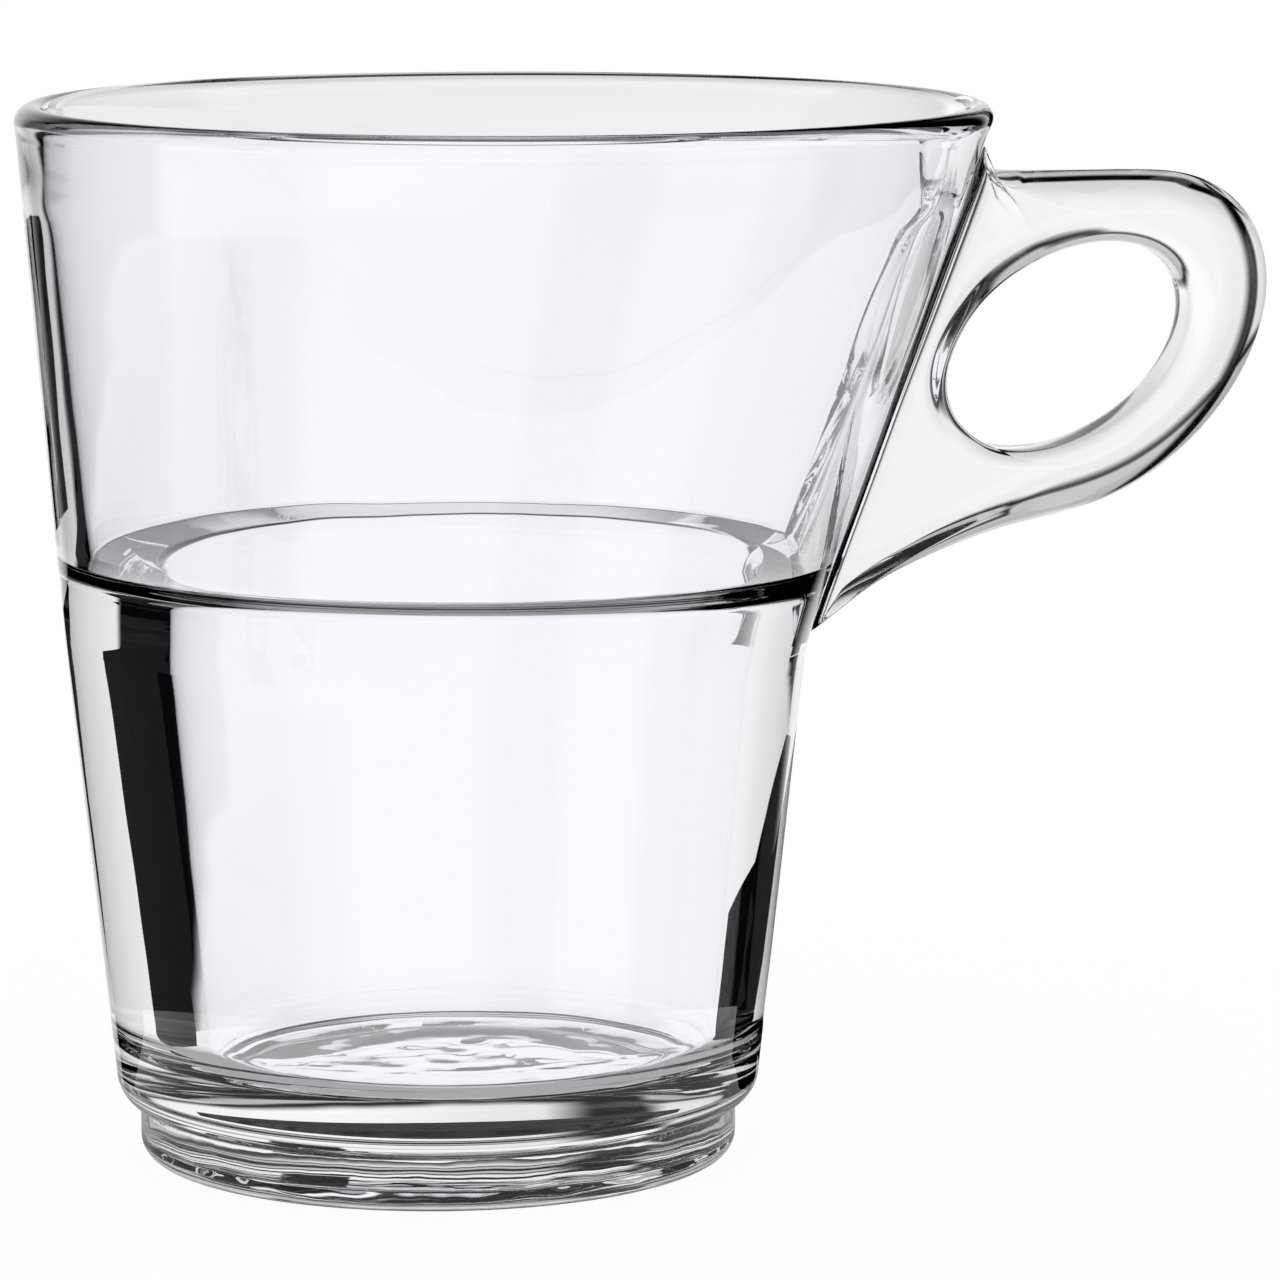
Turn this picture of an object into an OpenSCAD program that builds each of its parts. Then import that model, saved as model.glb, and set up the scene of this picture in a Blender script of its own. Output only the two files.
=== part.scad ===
// Cortado glass: a stacking coffee glass with a leaning upper bowl and a flat loop handle.
// Millimetres, +Z up. The origin is the centre of the foot, on the table, and the handle points along +X.

/* [Cup outside] */
// Height of the cup from the table to the top of the rim
cup_h = 80; // [70:0.5:110]
// Diameter over the rim bead
rim_d = 73.6; // [68:0.1:90]
// How far the rim's centre lies from the foot's centre, towards the handle
rim_shift = 5.5; // [0:0.1:9]
// Height of the waist, where the upper bowl starts to lean and flare
waist_h = 39.4; // [36:0.1:42]
// Outside diameter at the waist
waist_d = 56; // [54:0.1:62]
// Outside diameter at the heel, where the lower wall starts
heel_d = 49; // [48:0.1:53]
// Radius of the rounded heel
heel_r = 2.6; // [1.5:0.1:4]

/* [Foot] */
// Diameter of the foot
foot_d = 45.4; // [40:0.1:46]
// Height of the foot up to the underside of the heel
foot_h = 4; // [2.5:0.1:5]
// Radius of the foot's lower edge
foot_edge_r = 1.6; // [0.5:0.1:2.4]
// Width of the flat ring that the cup stands on
foot_ring_w = 3; // [1.5:0.1:6]
// Depth of the hollow under the foot
foot_hollow = 1.2; // [0.4:0.1:2.5]

/* [Cup inside] */
// Diameter of the lower inside at the stacking ledge
well_top_d = 44.4; // [40:0.1:46]
// Diameter of the lower inside above the floor's round corner
well_low_d = 38.6; // [34:0.1:41]
// How far the lower inside lies off the foot's centre, towards the handle
well_shift = 1.2; // [0:0.1:2]
// Thickness of the upper wall at the ledge
upper_wall = 2.4; // [2:0.1:3.2]
// Thickness of the upper wall under the rim
rim_wall = 1.7; // [1.4:0.1:2.6]
// Height of the inside floor above the table
floor_h = 8.1; // [5.5:0.1:12]
// Radius of the corner between the floor and the wall
floor_r = 3; // [1:0.1:6]
// How far above the waist the stacking ledge's outer edge lies
ledge_rise = 5.8; // [3:0.1:9]
// How far the ledge falls from its outer edge to its lip
ledge_drop = 0.2; // [0.1:0.1:2]

/* [Rim] */
// Height of the round bead along the rim
bead_h = 2.4; // [2.2:0.1:3.6]
// How far the bead stands out from the wall below it
bead_proud = 0.4; // [0.1:0.05:0.8]

/* [Handle] */
// Thickness of the handle, across the loop
handle_w = 7; // [5:0.1:9]
// Radius of the handle's rounded edges
handle_edge_r = 2.4; // [1:0.1:3]
// Distance from the foot's centre to the handle's tip
handle_reach = 65; // [62:0.1:75]
// How far the handle's top edge lies below the top of the rim
handle_drop = 5.8; // [5:0.1:12]
// Length of the loop's outer ellipse
loop_l = 31.7; // [29:0.1:36]
// Width of the loop's outer ellipse
loop_w = 22.1; // [21:0.1:26]
// Angle at which the loop's outer ellipse rises
loop_tilt = 41; // [30:1:50]
// How far above the waist the handle's underside meets the wall
handle_rise = 0.2; // [0:0.1:3]
// Angle round the loop's ellipse at which the underside leaves it
under_leave = 228; // [224:1:234]
// Radius of the fillet between the handle's top edge and the wall
handle_fillet = 2.4; // [1:0.1:2.6]

/* [Finger hole] */
// Length of the finger hole
hole_l = 20.8; // [16:0.1:22]
// Width of the finger hole
hole_w = 14; // [11:0.1:14.5]
// Angle at which the finger hole rises
hole_tilt = 30; // [20:1:40]
// How far the hole's centre lies from the loop's centre, towards the cup
hole_shift = 2.3; // [0:0.1:3]

/* [Hidden] */
$fn = 128;
glass = [0.9, 0.91, 0.95, 0.35];
arc_step = 15;
edge_steps = 3;

// Outside radii of the two walls by height. The upper bowl is a cone sheared towards the handle.
bead_r = bead_h / 2;
bead_c = [rim_d / 2 - bead_r, cup_h - bead_r];
wall_top = cup_h - bead_h;
rim_wall_r = rim_d / 2 - bead_proud;
heel_z = foot_h + heel_r;
lean = rim_shift / (cup_h - waist_h);
function lower_r(z) = heel_d / 2 + (waist_d - heel_d) / 2 * (z - heel_z) / (waist_h - heel_z);
function upper_r(z) = waist_d / 2 + (rim_wall_r - waist_d / 2) * (z - waist_h) / (wall_top - waist_h);
function wall_x(z) = upper_r(z) + lean * (z - waist_h);
function on_wall(y, z) = [lean * (z - waist_h) + sqrt(pow(upper_r(z), 2) - y * y), y, z];
ledge_h = waist_h + ledge_rise;
ledge_low = ledge_h - ledge_drop;
ledge_r = upper_r(ledge_h) - upper_wall;
well_low = floor_h + floor_r;
function well_r(z) = (well_low_d + (well_top_d - well_low_d) * (z - well_low) / (ledge_low - well_low)) / 2;

// Points of an arc from one angle to another
function arc(centre, r, from, to) =
    let (steps = ceil(abs(to - from) / arc_step))
    [for (i = [0:steps]) let (a = from + (to - from) * i / steps) centre + r * [cos(a), sin(a)]];

// The lower inside: a tapered well with a round corner along its floor, up to a height
module well(from, top) {
    low = from < well_low
        ? concat([[0, floor_h]], arc([well_low_d / 2 - floor_r, well_low], floor_r, -90, 0))
        : [[0, from], [well_r(from), from]];
    translate([well_shift, 0, 0]) rotate_extrude() polygon(concat(low, [[well_r(top), top], [0, top]]));
}

// Lower cup: flat foot ring round a hollow, foot, rounded heel, thick tapered wall and floor
module lower_cup() {
    ring_r = foot_d / 2 - foot_edge_r;
    heel_c = [heel_d / 2 - heel_r, heel_z];
    heel_step = foot_d / 2 - heel_c.x;
    color(glass) difference() {
        rotate_extrude() polygon(concat(
            [[0, foot_hollow], [ring_r - foot_ring_w - foot_hollow, foot_hollow], [ring_r - foot_ring_w, 0]],
            arc([ring_r, foot_edge_r], foot_edge_r, -90, 0),
            heel_step < 0 ? [[foot_d / 2, foot_h]] : [],
            arc(heel_c, heel_r, -acos(max(heel_step, 0) / heel_r), 0),
            [[waist_d / 2, waist_h], [0, waist_h]]));
        well(floor_h, waist_h + 1);
    }
}

// Upper bowl: the wall from the waist up, the stacking ledge inside it and the rim bead, all leaning to the handle
module upper_bowl() {
    lip_r = well_r(ledge_low);
    color(glass) multmatrix([[1, 0, lean, -lean * waist_h], [0, 1, 0, 0], [0, 0, 1, 0], [0, 0, 0, 1]])
        difference() {
            rotate_extrude() polygon(concat(
                [[0, waist_h], [waist_d / 2, waist_h], [rim_wall_r, wall_top]],
                arc(bead_c, bead_r, -asin((bead_r - bead_proud) / bead_r), 0),
                arc(bead_c, bead_r, 0, 180),
                [[rim_wall_r - rim_wall, wall_top], [ledge_r, ledge_h], [lip_r, ledge_low], [0, ledge_low]]));
            well(waist_h - 1, ledge_h + 1);
        }
}

// Outline of the handle in the XZ plane: the loop's ellipse, a flat top edge, a fillet under the rim,
// the root along the wall and a hollow curve along the underside
loop_a = loop_l / 2;
loop_b = loop_w / 2;
function turned(p, a) = [p.x * cos(a) - p.y * sin(a), p.x * sin(a) + p.y * cos(a)];
function unit(v) = v / norm(v);
loop_half_x = norm([loop_a * cos(loop_tilt), loop_b * sin(loop_tilt)]);
loop_half_z = norm([loop_a * sin(loop_tilt), loop_b * cos(loop_tilt)]);
handle_top = cup_h - handle_drop;
loop_c = [handle_reach - loop_half_x, handle_top - loop_half_z];
hole_c = loop_c - [hole_shift, 0];
function on_loop(t) = loop_c + turned([loop_a * cos(t), loop_b * sin(t)], loop_tilt);

// The top edge leaves the ellipse at its highest point, and the underside where its own angle says
top_leave = atan2(loop_b * cos(loop_tilt), loop_a * sin(loop_tilt));
under_start = on_loop(under_leave);
under_n = unit(turned([cos(under_leave) / loop_a, sin(under_leave) / loop_b], loop_tilt));
under_end = [wall_x(waist_h + handle_rise), waist_h + handle_rise];
under_way = under_end - under_start;
under_r = under_way * under_way / (2 * under_way * under_n);
under_c = under_start + under_r * under_n;

// The fillet's circle touches the top edge and the leaning wall
wall_slope = (wall_x(wall_top) - wall_x(waist_h)) / (wall_top - waist_h);
wall_n = unit([1, -wall_slope]);
fillet_z = handle_top + handle_fillet;
fillet_c = [wall_x(fillet_z) + handle_fillet / wall_n.x, fillet_z];
fillet_end = fillet_c - handle_fillet * wall_n;

// Each stretch of the outline, with the part of the hole's edge that it is joined to, and whether it is on the wall
function angle_of(p) = let (v = p - hole_c, a = atan2(v.y, v.x)) a < -90 ? a + 360 : a;
function stretch(points, root = false) =
    let (n = len(points) - 1, a = angle_of(points[0]), b = angle_of(points[n]), turn = b < a ? b + 360 - a : b - a)
    [for (i = [0:n - 1]) [a + turn * i / n, points[i], root]];
function line(p, q, n) = [for (i = [0:n]) p + (q - p) * i / n];
function bend(c, p, q, n) =
    let (a = atan2(p.y - c.y, p.x - c.x), d = atan2(q.y - c.y, q.x - c.x) - a,
         turn = d > 180 ? d - 360 : d < -180 ? d + 360 : d)
    [for (i = [0:n]) c + turned(p - c, turn * i / n)];
function round_loop(from, to, n) = [for (i = [0:n]) on_loop(from + (to - from) * i / n)];
top_end = fillet_c - [0, handle_fillet];
underside = stretch(bend(under_c, under_end, under_start, 10));
outline = concat(
    stretch(round_loop(under_leave - 360, top_leave, 32)),
    stretch(line(on_loop(top_leave), top_end, 6)),
    stretch(bend(fillet_c, top_end, fillet_end, 4)),
    stretch(line(fillet_end, under_end, 10), true),
    [[underside[0][0], under_end, true]],
    [for (i = [1:len(underside) - 1]) underside[i]]);
function to_hole(a) =
    let (d = turned([cos(a), sin(a)], -hole_tilt))
    1 / norm([d.x * 2 / hole_l, d.y * 2 / hole_w]);

// Half of a rounded edge of the bar, from its middle to its side: distance from the edge and thickness
edge = [for (i = [0:edge_steps])
    let (t = 90 * i / edge_steps)
    [handle_edge_r * (1 - cos(t)), handle_w / 2 - handle_edge_r * (1 - sin(t))]];
edge_back = [for (i = [edge_steps:-1:0]) edge[i]];

// The side of one cross-section of the bar: from the outline, or the wall, to the hole's edge
function outer_end(step, dir, p, side) =
    let (sink = !step[2] ? 0 : step[1].y == fillet_end.y ? -p.x : step[1].y == under_end.y ? p.x : 0,
         q = step[1] - p.x * dir)
    step[2] ? on_wall(side * p.y, step[1].y + sink) : [q.x, side * p.y, q.y];
function inner_end(near, dir, p, side) = let (q = near + p.x * dir) [q.x, side * p.y, q.y];

// Handle: cross-sections joined in a ring round the finger hole, with the root lying on the wall
module handle() {
    sections = [for (step = outline)
        let (near = hole_c + to_hole(step[0]) * [cos(step[0]), sin(step[0])], dir = unit(step[1] - near))
        concat(
            [for (p = edge) outer_end(step, dir, p, 1)],
            [for (p = edge_back) inner_end(near, dir, p, 1)],
            [for (p = edge) inner_end(near, dir, p, -1)],
            [for (p = edge_back) outer_end(step, dir, p, -1)])];
    n = len(sections);
    m = len(sections[0]);
    faces = [for (i = [0:n - 1], j = [0:m - 1])
        let (i2 = (i + 1) % n, j2 = (j + 1) % m)
        each [[i * m + j, i2 * m + j, i * m + j2], [i2 * m + j, i2 * m + j2, i * m + j2]]];
    color(glass) polyhedron([for (s = sections) each s], faces);
}

lower_cup();
upper_bowl();
handle();
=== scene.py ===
import math

import bmesh
import bpy
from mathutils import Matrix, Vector


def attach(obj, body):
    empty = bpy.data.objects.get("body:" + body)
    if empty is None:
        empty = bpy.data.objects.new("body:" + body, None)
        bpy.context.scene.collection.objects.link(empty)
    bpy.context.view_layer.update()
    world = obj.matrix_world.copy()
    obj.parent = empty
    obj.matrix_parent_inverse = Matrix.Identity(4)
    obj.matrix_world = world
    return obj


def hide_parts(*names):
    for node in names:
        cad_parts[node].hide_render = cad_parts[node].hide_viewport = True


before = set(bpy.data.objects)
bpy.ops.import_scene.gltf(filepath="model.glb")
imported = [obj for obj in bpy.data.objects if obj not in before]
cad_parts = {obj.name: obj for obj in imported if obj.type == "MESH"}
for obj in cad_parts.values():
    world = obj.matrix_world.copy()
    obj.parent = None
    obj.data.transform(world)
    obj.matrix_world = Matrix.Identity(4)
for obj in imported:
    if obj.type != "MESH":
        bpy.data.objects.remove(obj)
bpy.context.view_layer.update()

# Lower cup
# The thick lower half of the pressing: a stepped foot with a stippled hollow under it, a rounded heel
# and a tapered wall. The plunger sat a little off centre and left faint rings on the floor.

MM = 0.001
TURNS = 256
WAIST_H = 39.4
WAIST_R = 28.0
WAIST_SOFT = 1.2
HEEL_R = 24.5
HEEL_H = 6.6
HEEL_ROUND = 2.6
FOOT_R = 22.7
FOOT_EDGE = 1.6
FOOT_RING = 3.0
FOOT_HOLLOW = 1.2
FOOT_SIDE = 4.5
HOLLOW_ROUND = 1.0
WELL_TOP_R = 22.2
WELL_TOP_H = 45.0
WELL_LOW_R = 19.3
WELL_LOW_H = 11.1
WELL_SHIFT = 1.2
FLOOR_H = 8.1
FLOOR_ROUND = 3.0
FLOOR_RING = 4.4
FLOOR_RIPPLE = 0.03
FLOOR_CALM = 5.0
LEAN = 0.1355
FLARE = 0.2199
MERGE = 1e-7
TOUCH = 1e-6
OUT, IN, WELL, UNDER = range(4)
MOULD, SEAM, PLUNGER, STIPPLE, FOOT = range(5)


def steps(start, end, count):
    """Values in even steps from a start to an end, with both of them."""
    return [start + (end - start) * i / count for i in range(count + 1)]


def arc(centre, radius, start, end, count, stretch=1.0):
    """Points on an arc between two angles in degrees, drawn out upwards by a factor."""
    turns = [math.radians(a) for a in steps(start, end, count)]
    return [(centre[0] + radius * math.cos(a), centre[1] + radius * stretch * math.sin(a)) for a in turns]


def above_waist(z):
    rise = z - WAIST_H
    return (rise + math.hypot(rise, WAIST_SOFT)) / 2


def wall_r(z):
    taper = (WAIST_R - HEEL_R) / (WAIST_H - HEEL_H)
    return HEEL_R + taper * (z - HEEL_H) + (FLARE - taper) * above_waist(z)


def well_r(z):
    return WELL_LOW_R + (WELL_TOP_R - WELL_LOW_R) * (z - WELL_LOW_H) / (WELL_TOP_H - WELL_LOW_H)


def floor_h(r):
    return FLOOR_H + FLOOR_RIPPLE * math.sin(2 * math.pi * r / FLOOR_RING) * min(1, r / FLOOR_CALM)


def turn_section(sides, closed):
    """A glass wall turned round the cup's axis from the radii and heights, in millimetres, of its sides."""
    bm = bmesh.new()
    side_of = bm.verts.layers.int.new("side")
    verts = []
    for side, points in sides:
        for r, z in points:
            vert = bm.verts.new((r * MM, 0, z * MM))
            vert[side_of] = side
            verts.append(vert)
    for a, b in zip(verts, verts[1:]):
        bm.edges.new((a, b))
    if closed:
        bm.edges.new((verts[-1], verts[0]))
    bmesh.ops.spin(
        bm, geom=bm.verts[:] + bm.edges[:], cent=(0, 0, 0), axis=(0, 0, 1),
        angle=2 * math.pi, steps=TURNS, use_merge=True,
    )
    bmesh.ops.remove_doubles(bm, verts=bm.verts[:], dist=MERGE)
    bmesh.ops.recalc_face_normals(bm, faces=bm.faces[:])
    for face in bm.faces:
        met = {v[side_of] for v in face.verts}
        if met <= {IN, WELL}:
            face.material_index = PLUNGER
        elif met == {UNDER}:
            face.material_index = STIPPLE
        elif all(v.co.z < FOOT_SIDE * MM for v in face.verts):
            face.material_index = FOOT
    for vert in bm.verts:
        if vert[side_of] == WELL:
            vert.co.x += WELL_SHIFT * MM
    return bm


def lean_over(bm):
    for vert in bm.verts:
        vert.co.x += LEAN * above_waist(vert.co.z / MM) * MM


def at_waist(bm):
    return [f for f in bm.faces if all(abs(v.co.z - WAIST_H * MM) < TOUCH for v in f.verts)]


def mark_seam(faces):
    """Faces where two pieces of the one pressing touch: they carry the seam material and end sharply."""
    for face in faces:
        face.material_index = SEAM
        for edge in face.edges:
            if any(other.material_index != SEAM for other in edge.link_faces):
                edge.smooth = False


def piece(name, bm, materials):
    for face in bm.faces:
        face.smooth = True
    mesh = bpy.data.meshes.new(name)
    bm.to_mesh(mesh)
    bm.free()
    obj = bpy.data.objects.new(name, mesh)
    bpy.context.scene.collection.objects.link(obj)
    for material in materials:
        mesh.materials.append(material)
    return obj


def add_node(tree, kind, *inputs, **settings):
    """Adds a node. Its inputs are given in order or by name; a node or a socket among them is linked."""
    node = tree.nodes.new(kind)
    given = list(zip(node.inputs, inputs))
    for key, value in settings.items():
        name = key.replace("_", " ")
        if name in node.inputs:
            given.append((node.inputs[name], value))
        else:
            setattr(node, key, value)
    for socket, value in given:
        if isinstance(value, bpy.types.Node):
            value = value.outputs[0]
        if isinstance(value, bpy.types.NodeSocket):
            tree.links.new(value, socket)
        else:
            socket.default_value = value
    return node


def join(tree, operation, parts):
    """Joins numbers one after the other, by their sum, their product or the greatest of them."""
    total = parts[0]
    for part in parts[1:]:
        total = add_node(tree, "ShaderNodeMath", total, part, operation=operation)
    return total


def colour(code):
    """The linear colour of an sRGB hex value."""
    parts = [int(code[i:i + 2], 16) / 255 for i in (1, 3, 5)]
    return [c / 12.92 if c <= 0.04045 else ((c + 0.055) / 1.055) ** 2.4 for c in parts] + [1.0]


def glass_material(name):
    """Clear pressed soda-lime glass, colourless with a faint cool cast."""
    material = bpy.data.materials.new(name)
    material.use_nodes = True
    shader = material.node_tree.nodes["Principled BSDF"]
    shader.inputs["Base Color"].default_value = colour("#FDFCFF")
    shader.inputs["Roughness"].default_value = 0.0
    shader.inputs["IOR"].default_value = 1.52
    shader.inputs["Transmission Weight"].default_value = 1.0
    return material


def uneven(tree, size, depth, stretch=1.0):
    """Soft hills of a size and a height in millimetres, drawn out upwards by a factor."""
    place = add_node(tree, "ShaderNodeTexCoord")
    drawn = add_node(tree, "ShaderNodeMapping", place.outputs["Object"], Scale=(1, 1, 1 / stretch))
    noise = add_node(tree, "ShaderNodeTexNoise", drawn, Scale=1 / (size * MM), Detail=1.0)
    return add_node(tree, "ShaderNodeMath", noise, depth, operation="MULTIPLY")


def relief(material, hills):
    """Bends the light by the sum of all hills, each with its size, its height and how far it is drawn out."""
    tree = material.node_tree
    heights = join(tree, "ADD", [uneven(tree, *hill) for hill in hills])
    bump = add_node(tree, "ShaderNodeBump", Height=heights, Distance=MM, Strength=1.0)
    tree.links.new(bump.outputs["Normal"], tree.nodes["Principled BSDF"].inputs["Normal"])


# The outside, pressed against the mould: gently uneven.
mould_glass = glass_material("clear glass, mould side")
relief(mould_glass, [(14, 0.05)])

# The inside, pressed by the plunger: gently uneven, with fine upright flow lines.
plunger_glass = glass_material("clear glass, plunger side")
relief(plunger_glass, [(11, 0.05), (2.5, 0.004, 8)])

# The hollow under the foot, stippled in the mould, so that the floor over it swirls.
foot_glass = glass_material("clear glass, stippled foot")
relief(foot_glass, [(4.5, 0.35)])

# The side of the foot, which the mould's bottom ring chilled: wavy, with small nicks.
side_glass = glass_material("clear glass, wavy side of the foot")
relief(side_glass, [(9.0, 0.5), (2.2, 0.03)])

# The inside of the pressing, where the pieces of the model touch: nothing is to be seen there.
seam = bpy.data.materials.new("unbroken glass inside the pressing")
seam.use_nodes = True
seam.node_tree.nodes["Principled BSDF"].inputs["Alpha"].default_value = 0.0

ring_r = FOOT_R - FOOT_EDGE
heel_c = (HEEL_R - HEEL_ROUND, HEEL_H)
heel_start = -math.degrees(math.acos((FOOT_R - heel_c[0]) / HEEL_ROUND))
hollow_r = ring_r - FOOT_RING - FOOT_HOLLOW
bend = HOLLOW_ROUND * math.tan(math.pi / 8)
under = [(0, FOOT_HOLLOW), (hollow_r / 2, FOOT_HOLLOW)]
under += arc((hollow_r - bend, FOOT_HOLLOW - HOLLOW_ROUND), HOLLOW_ROUND, 90, 45, 4)
under += arc((ring_r - FOOT_RING + bend, HOLLOW_ROUND), HOLLOW_ROUND, 225, 270, 4)
outside = arc((ring_r, FOOT_EDGE), FOOT_EDGE, -90, 0, 10)
outside += arc(heel_c, HEEL_ROUND, heel_start, 0, 14)
outside += [(wall_r(z), z) for z in steps(HEEL_H, WAIST_H, 40)[1:]]
well = [(well_r(z), z) for z in steps(WAIST_H, WELL_LOW_H, 36)]
well += arc((WELL_LOW_R - FLOOR_ROUND, WELL_LOW_H), FLOOR_ROUND, 0, -90, 12)[1:]
well += [(r, floor_h(r)) for r in steps(WELL_LOW_R - FLOOR_ROUND, 0, 60)[1:]]
bm = turn_section([(UNDER, under), (OUT, outside), (WELL, well)], False)
mark_seam(at_waist(bm))
lean_over(bm)
lower_cup = piece("lower_cup", bm, [mould_glass, seam, plunger_glass, foot_glass, side_glass])
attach(lower_cup, "root")
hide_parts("lower_cup")

# Upper bowl
# The thin upper half: a flared wall that leans towards the handle, the ledge inside it that a second
# glass stands on when stacked, and the round bead that the wall swells into along the rim.

WALL_ROWS = 40
WALL_TOP = 77.6
UPPER_WALL = 2.4
RIM_WALL = 1.7
LEDGE_H = 46.0
LEDGE_DROP = 0.35
LEDGE_FILLET = 0.4
LEDGE_LIP = 1.3
LIP_STRETCH = 1.2
BEAD_R = 1.2
BEAD_C = (35.5, 78.8)
BEAD_OUT = -12.4
BEAD_IN = 166.4
BEAD_RUN = 7.0
ROOT_TURNS = 7
ON_WALL = 1e-5


def swell(z, start, end):
    """From 0 at one height to 1 at another, with a soft start and end."""
    rise = min(max((z - start) / (end - start), 0), 1)
    return rise * rise * (3 - 2 * rise)


def inside_upper_r(z):
    return wall_r(z) - UPPER_WALL + (UPPER_WALL - RIM_WALL) * (z - LEDGE_H) / (WALL_TOP - LEDGE_H)


def under_root(face):
    """Whether a face of the wall lies in the columns that the handle's root stands on."""
    half = 2 * math.pi / TURNS * ROOT_TURNS + ON_WALL
    for vert in face.verts:
        x, y, z = vert.co
        if abs(math.atan2(y, x)) > half or z > WALL_TOP * MM + TOUCH:
            return False
        if abs(math.hypot(x, y) - wall_r(z / MM) * MM) > ON_WALL:
            return False
    return True


bead = arc(BEAD_C, BEAD_R, BEAD_OUT, BEAD_IN, 30)
bead_r, bead_low = bead[0]
grown = bead_r - wall_r(bead_low)
outside = [(wall_r(z), z) for z in steps(WAIST_H, WALL_TOP, WALL_ROWS)]
outside += [(wall_r(z) + grown * swell(z, WALL_TOP, bead_low), z) for z in steps(WALL_TOP, bead_low, 4)[1:-1]]
outside += bead
bead_r, bead_end = bead[-1]
bead_start = bead_end - BEAD_RUN
grown = inside_upper_r(bead_end) - bead_r
run = steps(bead_end, bead_start, 16)[1:]
fillet_h = LEDGE_H + LEDGE_FILLET
lip_h = LEDGE_H - LEDGE_DROP - LEDGE_LIP * LIP_STRETCH
inside = [(inside_upper_r(z) - grown * swell(z, bead_start, bead_end), z) for z in run]
inside += [(inside_upper_r(z), z) for z in steps(bead_start, fillet_h, 26)[1:-1]]
inside += arc((inside_upper_r(fillet_h) - LEDGE_FILLET, fillet_h), LEDGE_FILLET, 0, -90, 8)
well = arc((well_r(lip_h) + LEDGE_LIP, lip_h), LEDGE_LIP, 90, 180, 16, LIP_STRETCH)
well += [(well_r(z), z) for z in steps(lip_h, WAIST_H, 6)[1:]]
bm = turn_section([(OUT, outside), (IN, inside), (WELL, well)], True)
low_faces = at_waist(bm)
root_faces = [f for f in bm.faces if f not in low_faces and under_root(f)]
mark_seam(low_faces)
for face in root_faces:
    face.material_index = SEAM
lean_over(bm)
upper_bowl = piece("upper_bowl", bm, [mould_glass, seam, plunger_glass])
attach(upper_bowl, "root")
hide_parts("upper_bowl")

# Handle
# A flat loop with rounded edges round a finger hole. Its root runs down the wall from under the bead
# to the waist and flows into it with a small fillet all round.

HALF_W = 3.5
EDGE_ROUND = 3.2
HOLE_ROUND = 1.5
HOLE_MIDDLE = 1.0
SIDE_STEP = 0.3
HOLE_SHARE = 0.3
EDGE_SHARE = 0.58
ROOT_SHARE = 0.45
LOOP_A = 15.85
LOOP_B = 11.05
LOOP_TILT = math.radians(41)
LOOP_C = (51.01, 60.87)
HOLE_A = 10.4
HOLE_B = 7.0
HOLE_TILT = math.radians(30)
HOLE_C = (48.71, 60.87)
HOLE_FIRST = 2.2
HANDLE_TOP = 74.2
TOP_FILLET = [(76.2, 0.12), (74.9, 0.5)]
TOP_RUN = 1.9
TOP_ROUNDS = (0.6, 1.2, 2.2)
LOW_ROUNDS = (2.2, 1.0)
LOW_FILLET = (39.75, 0.35)
UNDER_LEAVE = math.radians(228 - 360)
UNDER_END = 39.6
ROOT_ROWS = 10
RING = 26
RING_R = 1.0
RING_WAY = 12.0


def wall_at(y, z, off=0.0):
    """A point on the outside of the wall, or some way off it, on the handle's side."""
    r = wall_r(z)
    x = math.sqrt(r * r - y * y) + LEAN * above_waist(z)
    slope = FLARE + LEAN
    tilt = math.hypot(1, slope)
    return Vector((x + off / tilt, y, z - off * slope / tilt))


def tilted(u, v):
    """A way along and across the loop's length, as a way to the right and upwards."""
    c, s = math.cos(LOOP_TILT), math.sin(LOOP_TILT)
    return (u * c - v * s, u * s + v * c)


def on_loop(turn):
    right, up = tilted(LOOP_A * math.cos(turn), LOOP_B * math.sin(turn))
    return (LOOP_C[0] + right, LOOP_C[1] + up)


def on_hole(turn):
    c, s = math.cos(turn - HOLE_TILT), math.sin(turn - HOLE_TILT)
    reach = 1 / math.hypot(c / HOLE_A, s / HOLE_B)
    return (HOLE_C[0] + reach * math.cos(turn), HOLE_C[1] + reach * math.sin(turn))


def hole_turn(p):
    """A point's bearing from the hole's centre, counted down from the root's top corner."""
    turn = math.atan2(p[1] - HOLE_C[1], p[0] - HOLE_C[0])
    return turn - 2 * math.pi if turn > HOLE_FIRST else turn


def flat(p):
    return (p.x, p.z)


def upright_point(p):
    return Vector((p[0], 0, p[1]))


def rounded(radius, turns):
    """A rounded corner of the bar from its edge to its side: distance from the edge and from the middle."""
    turns = [math.radians(a) for a in turns]
    return [(radius * (1 - math.cos(a)), HALF_W - radius * (1 - math.sin(a))) for a in turns]


def root_edge(z):
    """Half the width of the root, with its fillet, where it meets the wall."""
    return wall_r(z) * math.sin(2 * math.pi / TURNS * ROOT_TURNS)


def widen(p):
    """Moves a point of the outline's ends sideways, where the fillet along the root passes into them."""
    fillet = root_edge(p.z) - HALF_W
    rest = fillet - min(max(p.x - wall_at(0, p.z).x, 0), fillet)
    p.y += (fillet - math.sqrt(fillet * fillet - rest * rest)) * p.y / HALF_W


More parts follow.
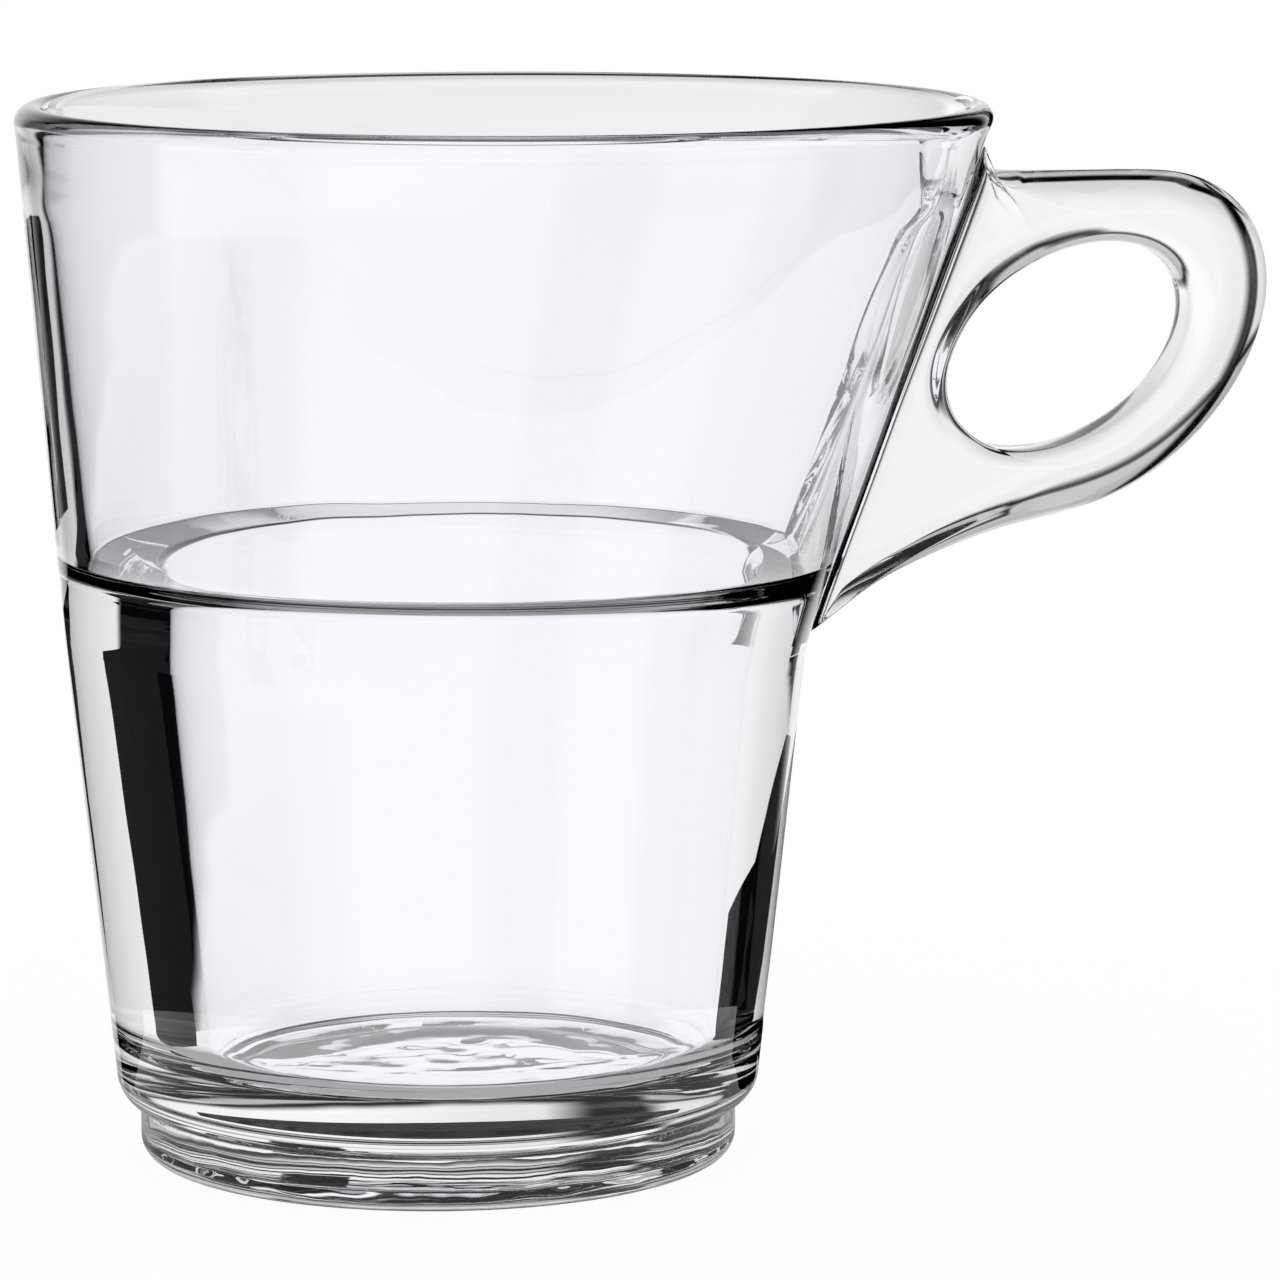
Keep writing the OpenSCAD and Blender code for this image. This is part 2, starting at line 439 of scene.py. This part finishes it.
def side_points(turn, point, height, edge_round):
    """Half a cross-section, from the hole's edge over the side to the outline or the wall."""
    near = upright_point(on_hole(turn))
    far = upright_point(point) if height is None else wall_at(0, height)
    reach = (far - near).length
    way = (far - near) / reach
    radius = min(HOLE_ROUND, HOLE_SHARE * reach)
    ends = [(0, HOLE_MIDDLE)] + rounded(radius, (0, 30, 60, 90)) + [(radius + SIDE_STEP, HALF_W)]
    points = [near + way * d + Vector((0, w, 0)) for d, w in ends]
    if height is None:
        radius = min(edge_round, EDGE_SHARE * reach)
        ends = [(radius + SIDE_STEP, HALF_W)] + rounded(radius, (90, 60, 30, 0))
        ends += [(0, ends[-1][1] / 3)]
        outer = [far - way * d + Vector((0, w, 0)) for d, w in ends]
        for p in outer:
            widen(p)
    else:
        edge = root_edge(height)
        fillet = edge - HALF_W
        turns = [math.radians(a) for a in (0, 30, 60)]
        facing = way.dot(wall_at(0, height, 1) - wall_at(0, height))
        depth = min(fillet, -ROOT_SHARE * reach * facing)
        ends = [(depth + SIDE_STEP, HALF_W)]
        ends += [(depth * (1 - math.sin(a)), edge - fillet * math.cos(a)) for a in turns]
        outer = [wall_at(w, height) + way * (d / facing) for d, w in ends]
        outer += [wall_at(edge, height), wall_at(edge / 3, height)]
    return points + [(points[-1] + outer[0]) / 2] + outer


# The underside is one arc that leaves the loop along its edge and ends on the wall.
under_start = on_loop(UNDER_LEAVE)
under_end = wall_at(0, UNDER_END)
outward = tilted(math.cos(UNDER_LEAVE) / LOOP_A, math.sin(UNDER_LEAVE) / LOOP_B)
outward = upright_point(outward).normalized()
way = under_end - upright_point(under_start)
under_r = way.length_squared / (2 * way.dot(outward))
under_c = upright_point(under_start) + outward * under_r
turns = [math.atan2(p[1] - under_c.z, p[0] - under_c.x) for p in (under_start, flat(under_end))]
under = arc(flat(under_c), under_r, math.degrees(turns[0]), math.degrees(turns[1]), 7)[1:-1]

# The outline runs from the root's top corner over the tip to its low corner. Each point has its place
# round the hole, and each of them gives one cross-section; the root's own sections follow.
top_corner = flat(wall_at(0, WALL_TOP))
low_corner = flat(wall_at(0, WAIST_H))
top_leave = math.atan2(LOOP_B * math.cos(LOOP_TILT), LOOP_A * math.sin(LOOP_TILT))
top_end = on_loop(top_leave)
top_fillet = [flat(wall_at(0, z, off)) for z, off in TOP_FILLET]
top_edge = [(x, HANDLE_TOP) for x in steps(top_fillet[-1][0] + TOP_RUN, top_end[0], 3)[:-1]]
lead = [top_corner] + top_fillet + top_edge
lead_turns = steps(hole_turn(top_corner), hole_turn(top_end), len(lead))[:-1]
tip = [on_loop(a) for a in steps(top_leave, UNDER_LEAVE, 14)]
tip_turns = [hole_turn(p) for p in tip]
tail = under + [flat(wall_at(0, *LOW_FILLET))]
tail_turns = steps(hole_turn(under_start), hole_turn(low_corner), len(tail) + 1)[1:-1]
outline = list(zip(lead_turns + tip_turns + tail_turns, lead + tip + tail))
root_turns = steps(hole_turn(low_corner), hole_turn(top_corner) - 2 * math.pi, ROOT_ROWS)[:-1]
root_heights = steps(WAIST_H, WALL_TOP, ROOT_ROWS)[:-1]
sections = [(a, p, None) for a, p in outline] + [(a, None, z) for a, z in zip(root_turns, root_heights)]
sections[0] = (sections[0][0], None, WALL_TOP)
round_of = dict(enumerate(TOP_ROUNDS, 1))
round_of.update(enumerate(LOW_ROUNDS, len(outline) - len(LOW_ROUNDS)))
halves = [side_points(*s, round_of.get(k, EDGE_ROUND)) for k, s in enumerate(sections)]

bm = bmesh.new()
ring_of = bm.verts.layers.int.new("ring")
hole = upright_point(HOLE_C) * MM
ring = []
for i in range(RING):
    turn = 2 * math.pi * i / RING
    out = Vector((RING_WAY + RING_R * math.cos(turn), RING_R * math.sin(turn), 0))
    vert = bm.verts.new(hole + out * MM)
    vert[ring_of] = i
    ring.append(vert)
for a, b in zip(ring, ring[1:] + ring[:1]):
    bm.edges.new((a, b))
bmesh.ops.spin(
    bm, geom=bm.verts[:] + bm.edges[:], cent=hole, axis=(0, 1, 0),
    angle=2 * math.pi, steps=len(sections), use_merge=True,
)
bmesh.ops.remove_doubles(bm, verts=bm.verts[:], dist=MERGE)
section_of = bm.verts.layers.int.new("section")
for vert in bm.verts:
    out = vert.co - hole
    turn = math.atan2(-out.z, out.x) % (2 * math.pi)
    k = round(turn / (2 * math.pi) * len(sections)) % len(sections)
    i = vert[ring_of]
    vert[section_of] = k
    p = halves[k][min(i, RING - 1 - i)]
    if i >= RING / 2:
        p = Vector((p.x, -p.y, p.z))
    vert.co = p * MM
bmesh.ops.recalc_face_normals(bm, faces=bm.faces[:])
if bm.calc_volume(signed=True) < 0:
    bmesh.ops.reverse_faces(bm, faces=bm.faces[:])

# The faces of the root on the wall keep their sharp edge when the rest is smoothed.
on_root = {0, *range(len(outline), len(sections))}
cap_rings = range(RING // 2 - 2, RING // 2 + 2)
crease = bm.edges.layers.float.new("crease_edge")
corner = bm.verts.layers.float.new("crease_vert")
mark_seam([f for f in bm.faces if all(v[ring_of] in cap_rings and v[section_of] in on_root for v in f.verts)])
for edge in bm.edges:
    if not edge.smooth:
        edge[crease] = 1.0
for vert in bm.verts:
    if vert[section_of] in (0, len(outline)) and vert[ring_of] in (cap_rings[0], cap_rings[-1]):
        vert[corner] = 1.0
handle = piece("handle", bm, [mould_glass, seam])
smooth = handle.modifiers.new("smooth", "SUBSURF")
smooth.levels = 2
smooth.render_levels = 2
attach(handle, "root")
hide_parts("handle")

# Floor
# A plain white table top, with a faint shadow of the cup. Rays inside the glass look past it to the studio.

TABLE_R = 1500
TABLE_GLOW = 0.95

bm = bmesh.new()
bmesh.ops.create_circle(bm, cap_ends=True, radius=TABLE_R * MM, segments=96)
table_top = bpy.data.materials.new("white table top")
table_top.use_nodes = True
shader = table_top.node_tree.nodes["Principled BSDF"]
shader.inputs["Base Color"].default_value = colour("#3F3F3F")
shader.inputs["Specular IOR Level"].default_value = 0.0
shader.inputs["Roughness"].default_value = 1.0
shader.inputs["Emission Color"].default_value = colour("#FFFFFF")
shader.inputs["Emission Strength"].default_value = TABLE_GLOW
floor = piece("floor", bm, [table_top])
floor.visible_transmission = False
floor.visible_glossy = False

# Studio
# A white room with dark gaps between its lit walls. Only light that the glass bends or throws back shows
# the gaps, so they draw the edges of the glass and leave a clear view through it.

GAP_SOFT = 1
OFTEN_DARK = 0.85

# Light by the number of faces of the glass that have thrown it back, or have let it through.
LIGHT = {
    "thrown back": ("Glossy Depth", "GREATER_THAN", 0.5),
    "thrown back often": ("Glossy Depth", "GREATER_THAN", 2.5),
    "not thrown back": ("Glossy Depth", "LESS_THAN", 0.5),
    "never inside": ("Transmission Depth", "LESS_THAN", 0.5),
    "let in": ("Transmission Depth", "GREATER_THAN", 0.5),
    "one wall at most": ("Transmission Depth", "LESS_THAN", 2.5),
    "more than one wall": ("Transmission Depth", "GREATER_THAN", 2.5),
}

world = bpy.data.worlds.new("white studio")
bpy.context.scene.world = world
world.use_nodes = True
room = world.node_tree
room.nodes.clear()
place = add_node(room, "ShaderNodeTexCoord")
split = add_node(room, "ShaderNodeSeparateXYZ", place.outputs["Generated"])
bearing = add_node(room, "ShaderNodeMath", split.outputs["X"], split.outputs["Y"], operation="ARCTAN2")
height = add_node(room, "ShaderNodeMath", split.outputs["Z"], operation="ARCSINE")


def only(tree, *kinds):
    """1 for light that the glass has treated in all the given ways, and 0 for other light."""
    path = add_node(tree, "ShaderNodeLightPath")
    tests = []
    for count, operation, limit in [LIGHT[kind] for kind in kinds]:
        tests.append(add_node(tree, "ShaderNodeMath", path.outputs[count], limit, operation=operation))
    return join(tree, "MULTIPLY", tests)


def fade(angle, start, end, before=0.0, after=1.0):
    """A share of dark that passes softly from one value to another between two angles in degrees."""
    limits = (math.radians(start), math.radians(end), before, after)
    return add_node(room, "ShaderNodeMapRange", angle, *limits, interpolation_type="SMOOTHSTEP")


def gap(left, right, low, high, soft, share=1.0):
    """A gap between two bearings and two heights in degrees, with soft ends."""
    sides = [fade(bearing, left, left + soft), fade(bearing, right, right - soft)]
    ends = [fade(height, low, low + GAP_SOFT), fade(height, high, high - GAP_SOFT, 0.0, share)]
    return join(room, "MULTIPLY", sides + ends)


def together(*shares):
    return join(room, "MULTIPLY", shares)


# Bearings are counted from behind the cup, to the right, and heights from the table's level.
# Light thrown back inside one wall: half-dark gaps on the right and behind the camera, a table edge low on
# the left, a gap on the left, a narrow one behind the cup, and walls that darken upwards.
inside_wall = [
    gap(90, 124, -40, -2, 10, 0.5),
    gap(146, 180, -40, -2, 10, 0.5),
    together(fade(bearing, -3, -9), fade(bearing, -130, -115), fade(height, -13, -18, 0.0, 0.85)),
    gap(-80, -20, -15, 30, 5),
    gap(21, 32, -8, 40, 0.6),
    fade(height, 6, 30),
]
# Light thrown back by the surface: the sides of the room.
off_surface = [gap(-90, -10, -60, 60, 12), gap(30, 110, -60, 60, 12)]
# Light bent by one wall, as at the handle, rim and foot: gaps beside, over and under what lies behind it.
bent = [
    together(fade(bearing, -1, -13), fade(bearing, -21, -28, 1.0, 0.1)),
    together(fade(height, 6, 12.5), fade(height, 13.5, 16.5, 1.0, 0.45)),
    together(fade(height, -36, -42), fade(height, -50, -60, 1.0, 0.3)),
    fade(height, -9, -32, 0.0, 0.26),
    fade(bearing, 25, -3, 0.0, 0.15),
]
# Light bent steeply down by the rim, which then passes the far wall.
steep = [together(fade(height, -38, -44), fade(height, -52, -62, 1.0, 0.3))]
ceiling = [fade(height, 30, 40)]
gaps = [
    (inside_wall, ("thrown back", "one wall at most")),
    (off_surface, ("thrown back", "never inside")),
    ([OFTEN_DARK], ("thrown back often", "one wall at most")),
    (ceiling, ("thrown back",)),
    (bent, ("not thrown back", "let in", "one wall at most")),
    (steep, ("more than one wall",)),
]
shares = [together(join(room, "MAXIMUM", parts), only(room, *light)) for parts, light in gaps]
lit = add_node(room, "ShaderNodeBackground", Color=colour("#FFFFFF"), Strength=1.0)
unlit = add_node(room, "ShaderNodeBackground", Color=colour("#08080A"), Strength=1.0)
mix = add_node(room, "ShaderNodeMixShader", join(room, "MAXIMUM", shares), lit, unlit)
add_node(room, "ShaderNodeOutputWorld", mix)

# Cards
# Black cards stand beside the cup, out of the picture. Under the cup lies painted shadow, a grey disc, and
# behind its foot stands painted shade, a dark strip; both are out of the picture too. The black ones meet
# only light that the glass throws back, the others light in one wall.

CARD_BEARING = math.radians(11.4)
CARD_DEPTH = 10.0
LEFT_CARD = [(-55, -2), (-31.2, -2), (-31.2, 40), (-36, 41), (-40.5, 44), (-42.5, 50), (-44, 50), (-46, 43)]
UPPER_CARD = [(-32.5, 46), (-36.5, 46), (-39, 70), (-35, 70)]
RIGHT_CARD = [(28.5, 0), (46, 0), (46, 13), (34, 20), (28.5, 31), (27, 31), (26.5, 20), (26.3, 13)]
# Painted shadow of the cup on the table, as a grey disc seen only through the glass.
SHADE_H = -0.2
SHADE_R = 60.0
SHADE_CORE_R = 18.0
SHADE_CORE = 0.12
SHADE_RIM = 0.9
SHADE_THROWN = 0.4
# Painted shade behind the foot, as a dark strip seen only through the glass.
STRIP_DEPTH = 30.0
STRIP = [(-12, -2), (40, -2), (40, 3.6), (8, 2.6), (-12, 1.2)]


def card_material(name, *light):
    """A card that only light of the given kinds meets, and the node that gives its face."""
    material = bpy.data.materials.new(name)
    material.use_nodes = True
    tree = material.node_tree
    tree.nodes.clear()
    clear = add_node(tree, "ShaderNodeBsdfTransparent")
    face = add_node(tree, "ShaderNodeEmission", Strength=1.0)
    mix = add_node(tree, "ShaderNodeMixShader", only(tree, *light), clear, face)
    add_node(tree, "ShaderNodeOutputMaterial", mix)
    return material, face


def upright(bm, corners, depth):
    """A card across the view, from its corners' distances to the right and heights in millimetres."""
    c, s = math.cos(CARD_BEARING), math.sin(CARD_BEARING)
    places = [(u * c + depth * s, depth * c - u * s, z) for u, z in corners]
    bmesh.ops.contextual_create(bm, geom=[bm.verts.new(Vector(p) * MM) for p in places])


def hide(obj):
    obj.visible_camera = False
    obj.visible_shadow = False
    obj.visible_diffuse = False


# Matt black card: the bars in the thick lower wall and along the left edge.
black_card, face = card_material("black card", "thrown back", "one wall at most")
face.inputs["Color"].default_value = colour("#060608")
bm = bmesh.new()
for corners in (LEFT_CARD, UPPER_CARD, RIGHT_CARD):
    upright(bm, corners, CARD_DEPTH)
hide(piece("black cards", bm, [black_card]))

# Painted shadow of the cup on the table: a grey disc, darkest under the foot and paler for light that the
# glass throws back.
painted_shadow, face = card_material("painted shadow of the cup on the table", "one wall at most")
tree = painted_shadow.node_tree
place = add_node(tree, "ShaderNodeTexCoord")
away = add_node(tree, "ShaderNodeVectorMath", place.outputs["Object"], operation="LENGTH")
limits = (SHADE_CORE_R * MM, SHADE_R * MM, SHADE_CORE, SHADE_RIM)
paler = add_node(tree, "ShaderNodeMapRange", away.outputs["Value"], *limits, interpolation_type="SMOOTHSTEP")
thrown = join(tree, "MULTIPLY", [only(tree, "thrown back"), SHADE_THROWN])
tree.links.new(join(tree, "MAXIMUM", [paler, thrown]).outputs[0], face.inputs["Color"])
bm = bmesh.new()
bmesh.ops.create_circle(bm, cap_ends=True, radius=SHADE_R * MM, segments=96)
bmesh.ops.translate(bm, verts=bm.verts[:], vec=(0, 0, SHADE_H * MM))
hide(piece("shade", bm, [painted_shadow]))

# Painted shade behind the foot: a dark strip, seen only through the glass.
painted_shade_strip, face = card_material("painted shade behind the foot", "one wall at most")
face.inputs["Color"].default_value = colour("#141416")
bm = bmesh.new()
upright(bm, STRIP, STRIP_DEPTH)
hide(piece("strip", bm, [painted_shade_strip]))

# Camera
# A long lens half a metre away, a little above the rim, as in the photo.

LENS = 190.06
SENSOR = 36
CAMERA_PLACE = (-0.0850, -0.4995, 0.1145)
LOOK_DOWN = 0.1474
LOOK_RIGHT = 0.1990

lens = bpy.data.cameras.new("camera")
lens.lens = LENS
lens.sensor_width = SENSOR
camera = bpy.data.objects.new("camera", lens)
camera.location = CAMERA_PLACE
camera.rotation_euler = (math.pi / 2 - LOOK_DOWN, 0, -LOOK_RIGHT)
bpy.context.scene.collection.objects.link(camera)
bpy.context.scene.camera = camera
bpy.context.scene.view_settings.view_transform = "Standard"
